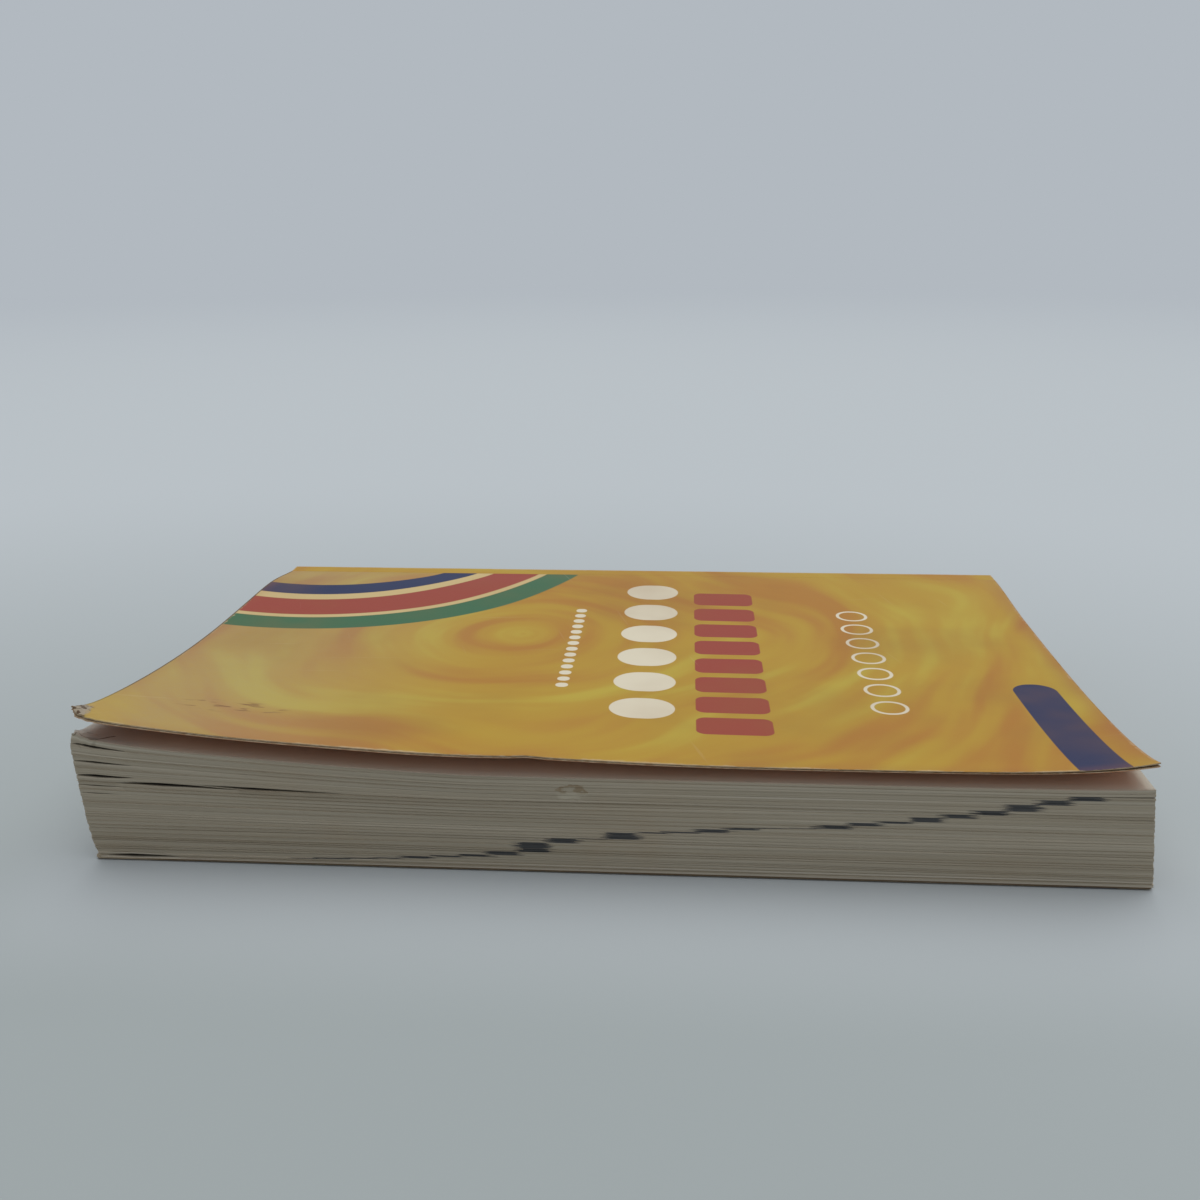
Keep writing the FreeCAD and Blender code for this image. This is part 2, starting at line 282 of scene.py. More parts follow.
TIP_FOLD_WIDTH = 0.45 * MM
TAIL = -BOOK_LENGTH / 2
FORE_EDGE = -BOOK_WIDTH / 2
CREASE = -FORE_EDGE - HINGE_STRIP
LEAF_BACK = -FORE_EDGE - CARD - GLUE_FILM
LOOSE_WIDTH = CREASE - FORE_EDGE

COLUMNS_ALONG = 150
COLUMNS_ACROSS = 50
CLUMPS = 29
CLUMP_UNEVENNESS = 0.5
LEAST_CLUMP = 0.022
CLUMP_LEVELS = np.array([[0.2, 0.5, 0.8]])
CLUMP_ROUNDING = np.array([[0.08, 0.02, 0.0, 0.015, 0.06]]) * MM
CLUMP_SETBACK = 0.13 * MM
GROOVE_OPENING = 0.12 * MM
GROOVE_DEPTH = 0.55 * MM
GROOVE_LEAST = 0.12
PRESSED_SHARE = 0.4
CLUMP_WAVE = 0.15 * MM
EDGE_WANDER = 0.08 * MM
SPLIT_CUSHION = 1.3 * MM

# Each split: its share of the height, where it starts and ends along the book, how wide and how deep
# it opens, and how far it reaches in from the fore-edge.
SPLITS = (
    (0.767, -117.4 * MM, -104 * MM, 0.55 * MM, 8 * MM, 20 * MM),
    (0.733, -108 * MM, -80 * MM, 0.60 * MM, 9 * MM, 7 * MM),
    (0.740, -89 * MM, -56 * MM, 0.55 * MM, 9 * MM, 7 * MM),
    (0.966, -117 * MM, -104 * MM, 0.34 * MM, 4 * MM, 14 * MM),
    (0.862, -117 * MM, -104 * MM, 0.30 * MM, 4 * MM, 13 * MM),
    (0.700, -117 * MM, -107 * MM, 0.16 * MM, 2 * MM, 10 * MM),
    (0.625, -117 * MM, -108 * MM, 0.18 * MM, 2 * MM, 10 * MM),
    (0.027, -115.8 * MM, -98 * MM, 1.0 * MM, 6 * MM, 4 * MM),
    (0.930, 102 * MM, 144 * MM, 0.22 * MM, 3 * MM, 9 * MM),
)
SPLIT_PEAK = 0.35

rng = np.random.default_rng(11)


def toward_fore(y):
    """Share of the way from the crease to the fore-edge."""
    return np.clip((CREASE - y) / LOOSE_WIDTH, 0, 1)


def leaf_height(share, x, y, crumple=CRUMPLE):
    """The stack's own height, swollen at the spine, plus a curl that grows towards the tail corner of
    the fore-edge and towards the top leaf, plus a small lift at the top leaf's corner at the head, and a
    dog-ear at its other corner, crumpled by crossing waves and folded across in two narrow ridges."""
    near_spine = np.clip((CREASE - y) / SWELL_REACH, 0, 1)
    swelling = 1 - near_spine ** 2 * (3 - 2 * near_spine)
    stack = FORE_STACK + (SPINE_STACK - FORE_STACK) * swelling
    toward_tail = np.clip((TAIL + CURL_LENGTH - x) / CURL_LENGTH, 0, 1)
    curl = CURL_RISE * toward_tail ** CURL_ALONG_POWER * toward_fore(y) ** CURL_ACROSS_POWER
    from_tip = np.hypot(x - TAIL + LEAF_SKEW, y - FORE_EDGE)
    ear = DOG_EAR_RISE * np.exp(-from_tip / DOG_EAR_SIZE)
    waves = np.sin(2100 * x + 700 * y) * np.sin(1500 * y - 500 * x + 1)
    waves = waves + 0.6 * np.sin(900 * x - 1300 * y)
    for place, rise in TIP_FOLDS:
        across = x - TAIL + LEAF_SKEW + 0.8 * (y - FORE_EDGE) - place
        waves = waves + rise / CRUMPLE * np.exp(-((across / TIP_FOLD_WIDTH) ** 2))
    crumpled = share ** CRUMPLED_LEAVES_POWER * crumple * np.exp(-((from_tip / CRUMPLE_REACH) ** 2)) * waves
    from_head = np.maximum(0.0, -TAIL - LEAF_SKEW - x)
    lift = HEAD_RISE * np.exp(-from_head / HEAD_RISE_REACH)
    lifted = share ** TOP_LEAVES_POWER * (ear + lift) * toward_fore(y) + crumpled
    return CARD + share * stack + share ** CURL_HEIGHT_POWER * curl + lifted


def leaf_point(share, a, b, setback):
    """Point a of the way from tail to head and b from fore-edge to spine on the leaf at this share of
    the height. The edges stand back by the setback, and a fifth of it at the milled spine, and the
    top leaves are worn round at their corner at the tail."""
    y = FORE_EDGE + setback + b * (LEAF_BACK - FORE_EDGE - 1.2 * setback)
    tuck = FOOT_TUCK * np.exp(-share * FORE_STACK / FOOT_TUCK_HEIGHT)
    sideways = (tuck * (1 - a) - LEAF_SKEW * share) * (1 - b)
    x = TAIL + setback + a * (BOOK_LENGTH - 2 * setback) + sideways
    from_corner = a * BOOK_LENGTH + b * BOOK_WIDTH
    worn = TIP_WEAR * share ** WORN_LEAVES_POWER * np.exp(-from_corner / TIP_WEAR_REACH)
    return np.stack([x + worn, y + worn, leaf_height(share, x, y)], -1)


def crowded(count, power=1.4):
    """Shares from 0 to 1, closer together near 0, where the leaves curl most."""
    return np.linspace(0, 1, count) ** power


def rim_walk(along, across):
    """Row and column of each point round a grid, from its first corner along, across and back."""
    rows = [np.arange(along), np.full(across - 1, along - 1)]
    rows += [np.arange(along - 2, -1, -1), np.zeros(across - 2, int)]
    columns = [np.zeros(along, int), np.arange(1, across)]
    columns += [np.full(along - 1, across - 1), np.arange(across - 2, 0, -1)]
    return np.concatenate(rows), np.concatenate(columns)


def grid_faces(index):
    """Faces of a grid of point numbers, facing up where its rows run along X and its columns along Y."""
    return np.stack([index[:-1, :-1], index[1:, :-1], index[1:, 1:], index[:-1, 1:]], -1).reshape(-1, 4)


def closed_stack(wall, lowest, highest):
    """Points, faces and number of wall faces of a solid: rows of points round its rim, from below
    up, closed by a sheet of points below and one above, whose rims are the first and last row."""
    rows, rim = wall.shape[:2]
    along, across = lowest.shape[:2]
    walk = rim_walk(along, across)
    inside = np.arange((along - 2) * (across - 2)).reshape(along - 2, across - 2)
    wall_index = np.arange(rows * rim).reshape(rows, rim)
    looped = np.concatenate([wall_index, wall_index[:, :1]], 1)
    points = [wall.reshape(-1, 3)]
    faces = [grid_faces(looped.T)]
    for number, (sheet, row) in enumerate(((lowest, 0), (highest, -1))):
        index = np.zeros((along, across), int)
        index[walk] = wall_index[row]
        index[1:-1, 1:-1] = rows * rim + number * inside.size + inside
        points.append(sheet[1:-1, 1:-1].reshape(-1, 3))
        faces.append(grid_faces(index if number else index.T).reshape(-1, 4))
    return np.concatenate(points), np.concatenate(faces), len(faces[0])


def clump_edges():
    """Shares of the height where one clump of leaves ends and the next begins: uneven steps, with the
    splits among them."""
    steps = np.cumsum(1 + CLUMP_UNEVENNESS * rng.uniform(-1, 1, CLUMPS))
    free = steps / steps[-1]
    splits = np.array([split[0] for split in SPLITS])
    clear = (abs(free[:, None] - splits).min(1) > LEAST_CLUMP) & (free < 1 - LEAST_CLUMP)
    return np.concatenate([[0.0], np.sort(np.concatenate([free[clear], splits])), [1.0]])


def clump_rows(edges):
    """Share and setback of each row of the wall, and the number of the groove it lies in, or else -1.
    A clump has a row at each lip and three between, and the groove above it has one at its bottom."""
    clumps = len(edges) - 1
    half = 0.5 * GROOVE_OPENING * (GROOVE_LEAST + rng.uniform(0, 1, (len(edges), 1)) ** 3) / FORE_STACK
    half *= PRESSED_SHARE + (1 - PRESSED_SHARE) * edges[:, None]
    half[[0, -1]] = 0.0
    low = edges[:-1, None]
    high = edges[1:, None]
    levels = low + (high - low) * CLUMP_LEVELS
    shares = np.concatenate([low + half[:-1], levels, high - half[1:], high], 1)
    setback = CLUMP_ROUNDING + CLUMP_SETBACK * rng.uniform(0, 1, (clumps, 1))
    setback = np.concatenate([setback, np.zeros((clumps, 1))], 1)
    groove = np.full(shares.shape, -1)
    groove[:, -1] = np.arange(clumps)
    return shares.ravel()[:-1], setback.ravel()[:-1], groove.ravel()[:-1]


def leaf_block():
    """Points, faces, number of wall faces, and at each point the share of the height and how many
    millimetres deep it lies in a groove. A split lifts what is above it and presses what is below
    it, less with distance, and is widest a third of the way along. Clumps wave along the book, and
    their edges wander."""
    edges = clump_edges()
    row_share, row_setback, row_groove = clump_rows(edges)
    a_line = crowded(COLUMNS_ALONG)
    b_line = crowded(COLUMNS_ACROSS)
    walk = rim_walk(COLUMNS_ALONG, COLUMNS_ACROSS)
    x = TAIL + a_line[walk[0]] * BOOK_LENGTH
    y = FORE_EDGE + b_line[walk[1]] * BOOK_WIDTH
    share = np.broadcast_to(row_share[:, None], (len(row_share), len(x))).copy()
    phase = rng.uniform(0, 2 * math.pi, (len(edges), 1))
    deep = GROOVE_DEPTH * (GROOVE_LEAST + rng.uniform(0, 1, (len(edges), 1)) ** 2)
    deep = deep * (PRESSED_SHARE + (1 - PRESSED_SHARE) * edges[:, None])
    deep = deep * (0.6 + 0.4 * np.sin(phase + 31 * x + 22 * y))
    ends = np.clip(np.minimum(share, 1 - share) * CLUMPS, 0, 1)
    share += CLUMP_WAVE / FORE_STACK * ends * np.sin(9 * math.pi * share + 17 * x + 12 * y)
    for split_share, begin, end, gap, depth, reach in SPLITS:
        along = (x - begin) / (end - begin)
        opened = np.minimum(along / SPLIT_PEAK, (1 - along) / (1 - SPLIT_PEAK))
        strength = np.clip(opened, 0, 1) ** 0.7 * np.clip(1 - (y - FORE_EDGE) / reach, 0, 1)
        away = (row_share - split_share)[:, None]
        cushion = np.exp(-abs(away) * FORE_STACK / SPLIT_CUSHION)
        share += np.sign(away.round(6)) * 0.5 * gap / FORE_STACK * strength * cushion * ends
        deep[np.argmin(abs(edges - split_share)) - 1] += depth * strength
    wander = EDGE_WANDER * (1 + np.sin(phase[row_groove] + 23 * x + 40 * y))
    in_groove = row_groove[:, None] >= 0
    setback = row_setback[:, None] + np.where(in_groove, deep[row_groove], wander)
    wall = leaf_point(share, a_line[walk[0]], b_line[walk[1]], setback)
    a, b = np.meshgrid(a_line, b_line, indexing="ij")
    lowest = leaf_point(0.0, a, b, row_setback[0])
    highest = leaf_point(1.0, a, b, row_setback[-1])
    wall[0] = lowest[walk]
    wall[-1] = highest[walk]
    inside = (COLUMNS_ALONG - 2) * (COLUMNS_ACROSS - 2)
    leaf = np.concatenate([share.ravel(), np.zeros(inside), np.ones(inside)])
    # How deep each point lies in a groove, for the material to paint as shade.
    dark = np.where(in_groove, deep[row_groove], 0.0).ravel() / MM
    dark = np.concatenate([dark, np.zeros(2 * inside)])
    return *closed_stack(wall, lowest, highest), leaf, dark


def close_finish(last, face, roughness, shine, height, strength, depth):
    """Gives the material its surface: colour, roughness and shine, and relief of this strength and
    depth."""
    relief = {"Strength": strength, "Distance": depth, "Height": height}
    inputs = {"Base Color": face, "Roughness": roughness, "Specular IOR Level": shine}
    inputs["Normal"] = last.node("ShaderNodeBump", None, relief)
    surface = last.node("ShaderNodeBsdfPrincipled", None, inputs)
    last.node("ShaderNodeOutputMaterial", None, {"Surface": surface})


def give_values(piece, name, values):
    """Stores one number for each point of the mesh, for its material to read by this name."""
    attribute = piece.data.attributes.new(name, "FLOAT", "POINT")
    attribute.data.foreach_set("value", values.astype(np.float32))


def stored(place, name):
    """The number stored under this name at a point of the mesh."""
    return place.node("ShaderNodeAttribute", {"attribute_name": name}, output=2)


def cloud(x, y, z, detail=2.0, roughness=0.5):
    """Soft noise between 0 and 1, one feature to each whole step of these coordinates."""
    vector = x.node("ShaderNodeCombineXYZ", None, {0: x, 1: y, 2: z})
    inputs = {"Vector": vector, "Scale": 1.0, "Detail": detail, "Roughness": roughness}
    return x.node("ShaderNodeTexNoise", None, inputs)


# A thumb index is printed on the fore-edge: one dark bar for each of the 26 sections of the book, each
# a step nearer to the tail. The numbers are the leaves that each section has.
SECTION_LEAVES = (11, 12, 18, 12, 9, 13, 5, 9, 9, 2, 2, 6, 9, 3, 3, 18, 2, 13, 26, 11, 6, 3, 7, 3, 3, 3)
INDEX_TOP = 0.937
INDEX_BOTTOM = 0.043
FIRST_BAR = 100.8 * MM
BAR_PITCH = 6.52 * MM
BAR_HALF = 3.6 * MM
BAR_RAGGEDNESS = 10 * MM
BAR_SOFTNESS = 0.12 * MM
INDEX_SOFTNESS = 0.004
LEAF_COUNT = 240


def index_bars(x, leaf):
    """Mask of the bars: each leaf's section gives the place of its bar along the book, and the bar's
    two ends are ragged from leaf to leaf."""
    sections = len(SECTION_LEAVES)
    below = np.cumsum(SECTION_LEAVES[::-1]) / sum(SECTION_LEAVES)
    tops = INDEX_BOTTOM + (INDEX_TOP - INDEX_BOTTOM) * below
    starts = np.concatenate([[INDEX_BOTTOM], tops[:-1]])
    stops = [(start, (sections - 1 - number) / sections) for number, start in enumerate(starts)]
    section = leaf.node("ShaderNodeValToRGB", {"stops": [(0.0, 1.0), *stops]}, {0: leaf}) * sections
    ragged = (cloud(x * 60, x * 0.0, leaf * (LEAF_COUNT * 1.4), detail=1.0) - 0.5) * BAR_RAGGEDNESS
    from_middle = abs(x + ragged + section * BAR_PITCH - FIRST_BAR)
    across = from_middle.step(BAR_HALF + BAR_SOFTNESS, BAR_HALF - BAR_SOFTNESS)
    above = leaf.step(INDEX_BOTTOM - INDEX_SOFTNESS, INDEX_BOTTOM)
    return across * above * leaf.step(INDEX_TOP + INDEX_SOFTNESS, INDEX_TOP)


PAPER_DARK = colour(176, 164, 143)
PAPER_LIGHT = colour(188, 177, 157)
PAPER_PAINTED_SHADE = colour(142, 130, 113)
PAPER_PAINTED_LIT = colour(206, 200, 184)
PAPER_LINED = colour(146, 136, 117)
PAPER_FOXED = colour(176, 157, 130)
PAPER_PALE = colour(214, 204, 186)
GROOVE_SHADE = colour(46, 40, 34)
GROOVE_SHADE_DEPTH = 0.9
PAGE = colour(214, 207, 190)
PAGE_AGED = colour(204, 194, 174)
PAGE_THUMBED = colour(180, 177, 168)
PAGE_RIM_SHADE = colour(178, 165, 146)
TOP_LEAF = 0.997
THUMBED_ALONG = (-96 * MM, -113 * MM)
THUMBED_ACROSS = (FORE_EDGE + 46 * MM, FORE_EDGE + 12 * MM)
PAGE_RIM_SHADE_WIDTH = (FORE_EDGE + 1.4 * MM, FORE_EDGE + 0.2 * MM)
FORE_FACE = (FORE_EDGE + 2 * MM, FORE_EDGE + 1.2 * MM)
INDEX_INK = colour(66, 68, 71)
BENT_SHADE = colour(88, 76, 62)
BENT_REACH = (8 * MM, 4 * MM)
STAIN_PLACE = (-8.2 * MM, 19.6 * MM)
STAIN_HALF = (2.9 * MM, 1.5 * MM)
STAIN_PALE = colour(212, 204, 182)
STAIN_RIM = colour(134, 108, 70)
CREASE_MARK = (-112.4 * MM, -75.0 * MM)
CREASE_TURN = math.radians(55)
CREASE_HALF = (2.7 * MM, 2 * MM)
CREASE_WIDTH = (0.3 * MM, 0.1 * MM)
CREASE_SHADE = colour(84, 72, 60)

leaf_finish, x, y, z = new_finish("leaf_paper")
leaf = stored(x, "leaf")
in_groove = stored(x, "groove")
clumped = cloud(x * 8, y * 8, leaf * 42, detail=1.0)
sheaves = cloud(x * 12, y * 12, leaf * 125, detail=2.0, roughness=0.6)
lines = cloud(x * 14, y * 14, leaf * LEAF_COUNT, detail=1.0)
mottle = cloud(x * 45, y * 45, z * 45, detail=3.0)
fibres = cloud(x * 900, y * 900, z * 900, detail=3.0, roughness=0.7)
paper = clumped.step(0.3, 0.7).paint(PAPER_DARK, PAPER_LIGHT)
# Painted shade and painted light: bands of leaves painted darker and lighter, as shaded and lit clumps.
paper = (sheaves.step(0.5, 0.68) * 0.34).paint(paper, PAPER_PAINTED_SHADE)
paper = (sheaves.step(0.45, 0.3) * 0.45).paint(paper, PAPER_PAINTED_LIT)
paper = (lines.step(0.4, 0.7) * 0.3).paint(paper, PAPER_LINED)
paper = (mottle.step(0.5, 0.8) * 0.3).paint(paper, PAPER_FOXED)
pale_leaves = (leaf.step(0.03, 0.0) * 0.5).larger(abs(leaf - 0.05).step(0.008, 0.004) * 0.85)
paper = pale_leaves.paint(paper, PAPER_PALE)
first_page = (mottle.step(0.3, 0.7) * 0.6).paint(PAGE, PAGE_AGED)
thumbed = x.step(*THUMBED_ALONG) * y.step(*THUMBED_ACROSS)
first_page = thumbed.paint(first_page, PAGE_THUMBED)
# Painted shade along the rim of the first page at the fore-edge.
first_page = (y.step(*PAGE_RIM_SHADE_WIDTH) * 0.9).paint(first_page, PAGE_RIM_SHADE)
paper = leaf.step(TOP_LEAF, 1.0).paint(paper, first_page)
# Painted shade in the grooves between clumps, darkest deep inside them.
paper = (in_groove.step(0.0, GROOVE_SHADE_DEPTH) * 0.9).paint(paper, GROOVE_SHADE)
at_fore = y.step(*FORE_FACE)
stain_x = (x - STAIN_PLACE[0]) / STAIN_HALF[0]
stain_z = (z - STAIN_PLACE[1]) / STAIN_HALF[1]
blotch = cloud(x * 420, y * 420, z * 800, detail=3.0, roughness=0.6)
stain_away = (stain_x ** 2.0 + stain_z ** 2.0) ** 0.5 + (blotch - 0.5) * 2.2
above_stain = z - STAIN_PLACE[1]
dried_rim = abs(stain_away - 0.8).step(0.35, 0.1) * above_stain.step(-1.2 * MM, 0.2 * MM)
smear = stain_away.step(1.5, 0.8) * above_stain.step(0.4 * MM, -1.2 * MM)
paper = (smear * at_fore * 0.45).paint(paper, STAIN_PALE)
paper = (dried_rim * at_fore * 0.55).paint(paper, STAIN_RIM)
ink = index_bars(x, leaf) * at_fore * lines.step(0.2, 0.34)
paper = (ink * 0.94).paint(paper, INDEX_INK)
tip_x = x - (TAIL - LEAF_SKEW)
tip_y = y - FORE_EDGE
bent = cloud(x * 260, y * 260, z * 260, detail=1.0)
near_corner = ((tip_x ** 2.0 + tip_y ** 2.0) ** 0.5).step(*BENT_REACH) * leaf.step(0.93, 0.99)
# Painted shade: thin dark lines in the crumpled corner of the top leaves.
paper = (abs(bent - 0.5).step(0.035, 0.0) * near_corner * 0.75).paint(paper, BENT_SHADE)
crease_x = x - CREASE_MARK[0]
crease_y = y - CREASE_MARK[1]
crease_along = crease_x * math.cos(CREASE_TURN) + crease_y * math.sin(CREASE_TURN)
crease_across = crease_y * math.cos(CREASE_TURN) - crease_x * math.sin(CREASE_TURN)
creased = abs(crease_across + bent * MM).step(*CREASE_WIDTH) * abs(crease_along).step(*CREASE_HALF)
# Painted shade: a thin dark line along a small crease in the first page.
paper = (creased * leaf.step(TOP_LEAF, 1.0) * 0.8).paint(paper, CREASE_SHADE)
relief = lines * 0.6 + sheaves * 0.8 + fibres * 0.15
close_finish(x, paper, roughness=0.86, shine=0.25, height=relief, strength=0.6, depth=0.1 * MM)

leaf_points, leaf_faces, wall_faces, leaf_shares, groove_marks = leaf_block()
smooth = np.arange(len(leaf_faces)) >= wall_faces
leaves = new_piece("leaves", leaf_points, leaf_faces, smooth, leaf_finish)
give_values(leaves, "leaf", leaf_shares)
give_values(leaves, "groove", groove_marks)
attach(leaves, "leaves_and_spine")
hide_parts("text_block")


# Adhesive: a film of pale hot-melt glue between the milled backs of the leaves and the card of the
# spine. It shows only as a thin line at the head and the tail, where it was cut with the book.

GLUE_AMBER = colour(190, 178, 148)
GLUE_PALE = colour(222, 214, 190)


def dress(node, finish):
    """Gives a solid of the construction this material in place of its own."""
    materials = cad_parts[node].data.materials
    materials.clear()
    materials.append(finish)


glue_finish, x, y, z = new_finish("hot_melt_glue")
ripple = cloud(x * 350, y * 350, z * 350)
glue_colour = ripple.step(0.35, 0.7).paint(GLUE_AMBER, GLUE_PALE)
close_finish(x, glue_colour, roughness=0.4, shine=0.5, height=ripple, strength=0.4, depth=0.1 * MM)
dress("spine_glue", glue_finish)


# Spine and hinge strips of the cover: one sheet of white card wraps the book. It is printed in yellow
# and orange that flow into each other, and faced with a glossy film that is worn through at the folds.

PRINT_LEMON = colour(178, 155, 52)
PRINT_YELLOW = colour(173, 137, 40)
PRINT_ORANGE = colour(166, 114, 38)
PRINT_RED = colour(146, 60, 44)
PRINT_BLUE = colour(26, 38, 76)
PRINT_GREEN = colour(52, 98, 66)
PRINT_WHITE = colour(214, 204, 180)
PRINT_CREAM = colour(196, 172, 120)
CARD_CORE = colour(186, 164, 130)
# The inside of the card is warm orange: partly its own tint and partly painted light, made redder so that
# its bounce stands in for light shining through the thin card into the gap under the cover.
CARD_INSIDE = colour(228, 146, 96)
GRIME = colour(138, 96, 50)
RUBBED = colour(150, 88, 52)
RUBBED_WIDTH = 5 * MM
SPINE_TOP = SPINE_STACK + 2 * CARD
SPINE_BACK = CREASE + HINGE_STRIP
EDGE_WEAR = 0.7 * MM
FOLD_WEAR = 1.5 * MM
WEAR_SPECKS = 2.2 * MM
WEAR_BLOTCHES = 2.6 * MM
TILE_SOFTNESS = 0.15 * MM
TILE_TRIM = 0.01 * MM
GLOSS = 0.12
PRINT_RELIEF = 0.12 * MM
SPINE_RELIEF = 0.15 * MM
SWIRL_MIDDLE = (-30 * MM, -12 * MM)


def flowing_print(x, y, z):
    """Orange, yellow and lemon that flow round a point in uneven, broken rings: noise that changes
    fast with the distance from that point and slowly otherwise, bent by slower noise."""
    from_middle_x = x - SWIRL_MIDDLE[0]
    from_middle_y = y - z - SWIRL_MIDDLE[1]
    drift = cloud(x * 14, y * 14, z * 14, detail=1.0)
    away = (from_middle_x ** 2.0 + from_middle_y ** 2.0) ** 0.5
    rings = cloud(away * 62 + drift * 4, from_middle_x * 13, from_middle_y * 13, detail=2.5)
    blended = rings.step(0.34, 0.58).paint(PRINT_ORANGE, PRINT_YELLOW)
    return rings.step(0.56, 0.74).paint(blended, PRINT_LEMON)


def tile_row(along, across, first, last, count, middle, half, gap, corner):
    """Mask of a row of plain rounded tiles from first to last: the distance to a rounded box,
    repeated at each pitch, half as high as given here and with this gap to the next."""
    pitch = (last - first) / count
    phase = along.math("FRACT", (along - first) / pitch)
    side = abs(phase - 0.5) * pitch - (pitch / 2 - gap / 2 - corner)
    end = abs(across - middle) - (half - corner)
    away = (side.larger(0.0) ** 2.0 + end.larger(0.0) ** 2.0) ** 0.5 - corner
    inside = away.step(TILE_SOFTNESS, -TILE_SOFTNESS)
    return inside * along.step(first - TILE_TRIM, first) * along.step(last, last - TILE_TRIM)


def worn_print(x, y, z, printed, rim, fold):
    """The printed face with its wear, its roughness and its relief: white card where the film has worn
    off at an edge or a fold, brown grime, and fine pale scratches."""
    speck = cloud(x * 420, y * 420, z * 420, detail=3.0, roughness=0.65)
    broad = cloud(x * 55, y * 55, z * 55, detail=2.0)
    grime = cloud(x * 26, y * 26, z * 26, detail=3.0)
    ragged = (speck - 0.5) * WEAR_SPECKS + (broad - 0.5) * WEAR_BLOTCHES
    worn = (rim + ragged).step(EDGE_WEAR, 0.0).larger((fold + ragged).step(FOLD_WEAR, 0.0) * 0.7)
    scratched = cloud(x * 500 + y * 160, y * 22 - x * 8, z * 40, detail=1.0).step(0.74, 0.8)
    crossing = cloud(x * 18 + y * 9, y * 620 - x * 90, z * 40, detail=1.0).step(0.76, 0.8)
    face = (grime.step(0.45, 0.8) * 0.3).paint(printed, GRIME)
    face = (scratched.larger(crossing) * 0.07).paint(face, PRINT_WHITE)
    face = (rim.step(RUBBED_WIDTH, 0.0) * broad.step(0.3, 0.6) * 0.16).paint(face, RUBBED)
    face = (worn * 0.75).paint(face, CARD_CORE)
    return face, 0.46 + 0.25 * worn + 0.12 * grime, grime * 0.6 + speck * 0.1 - worn * 0.5


spine_finish, x, y, z = new_finish("printed_card_spine")
printed = flowing_print(x, y, z)
on_back = y.step(SPINE_BACK - 0.7 * MM, SPINE_BACK - 0.4 * MM)
tiles = tile_row(x, z, first=-70 * MM, last=20 * MM, count=9, middle=SPINE_TOP / 2,
                 half=5 * MM, gap=2.4 * MM, corner=1.6 * MM)
printed = (tiles * on_back).paint(printed, PRINT_RED)
bars = tile_row(x, z, first=34 * MM, last=80 * MM, count=2, middle=SPINE_TOP / 2,
                half=1.6 * MM, gap=3 * MM, corner=1.4 * MM)
printed = (bars * on_back).paint(printed, PRINT_WHITE)
rim = (x - TAIL).smaller(-1 * (x + TAIL))
corner_top = ((y - SPINE_BACK) ** 2.0 + (z - SPINE_TOP) ** 2.0) ** 0.5
corner_foot = ((y - SPINE_BACK) ** 2.0 + z ** 2.0) ** 0.5
fold = corner_top.smaller(corner_foot)
face, rough, height = worn_print(x, y, z, printed, rim, fold)
inner = (z - CARD / 2).smaller(SPINE_TOP - CARD / 2 - z).smaller(SPINE_BACK - CARD / 2 - y)
face = inner.step(0.0, 0.02 * MM).paint(face, CARD_INSIDE)
# Fine creases along the spine, where it has bent in reading.
reading = cloud(x * 6, z * 700, z * 0.0, detail=2.0).step(0.6, 0.7) * on_back
close_finish(x, face, rough, GLOSS, height - reading * 0.8, strength=0.7, depth=SPINE_RELIEF)
dress("cover_spine", spine_finish)


# Front cover: the front panel of the same card. It has curled up from the leaves, most of all at the
# tail, where the plies have frayed at the tip, and at the head corner, where they have parted.

CREASE_GAP = 0.05 * MM
CREASE_CARD = 0.2 * MM
LEAF_CLEARANCE = 0.3 * MM
RIM_LIFT = 2 * MM
TAIL_LIFT = 3.1 * MM
HEAD_LIFT = 2.9 * MM
HEAD_LIFT_REACH = 21 * MM
MIDDLE_LIFT = 0.75 * MM
MIDDLE_STARTS = 0.12
MIDDLE_FULL = 0.30
BUCKLE_RISE = 0.65 * MM
BUCKLE_PLACE = 0.42
BUCKLE_REACH = 0.09
KINK_RISE = 0.3 * MM
KINK_PLACE = 0.435
KINK_REACH = 0.012
TIP_EAR = 0.5
TIP_CURL = 0.95 * MM
TIP_CURL_DEPTH = (1.5 * MM, 30 * MM)
TIP_CURL_LENGTH = 8 * MM
TIP_LOSS = 0.8 * MM
HUMP_RISE = 2.6 * MM
HUMP_REACH = 30 * MM
COVER_WAVE = 0.12 * MM
NICK_RISE = 0.12 * MM
NICK_REACH = 3 * MM
PARTED = 0.6 * MM
PARTED_LENGTH = 14 * MM
PARTED_DEPTH = 5 * MM
FRAYED = 0.9 * MM
FRAY_CURL = 0.7 * MM
FRAY_SPAN = (3.2 * MM, 7 * MM)
TIP_ROUND = (3.0 * MM, 4.8 * MM)
TIP_RAGGED = (0.4, 0.3)
SWOLLEN = 0.4 * MM
SWOLLEN_REACH = 1.3 * MM
FRAY_REACH = 3.2 * MM
FRAY_LUMPS = 0.35 * MM
TIP_BARE = (4.4 * MM, 8.6 * MM)
SCUFF_PLACE = (-90 * MM, -57 * MM)
SCUFF_HALF = (15 * MM, 5 * MM)
CUT_PARTED = 0.07 * MM
TIP_PARTED = 1.5 * MM
TAIL_GREY = colour(156, 146, 122)
TAIL_GREY_PLACE = (-30 * MM, -108 * MM)
TAIL_GREY_LEAST = 0.24
TAIL_GREY_VARIES = 0.2
CUT_DARK = colour(168, 138, 104)
CUT_PALE = colour(212, 194, 164)
CUT_PARTING = colour(92, 58, 42)
INSIDE_BLOTCH = colour(226, 153, 106)
BARE_DIRT = colour(84, 66, 48)
BARE_BOARD = colour(152, 140, 121)
SCUFF_BROWN = colour(122, 88, 50)
RIM_BROWN = colour(84, 68, 46)
HEAD_BROWN = colour(152, 90, 60)
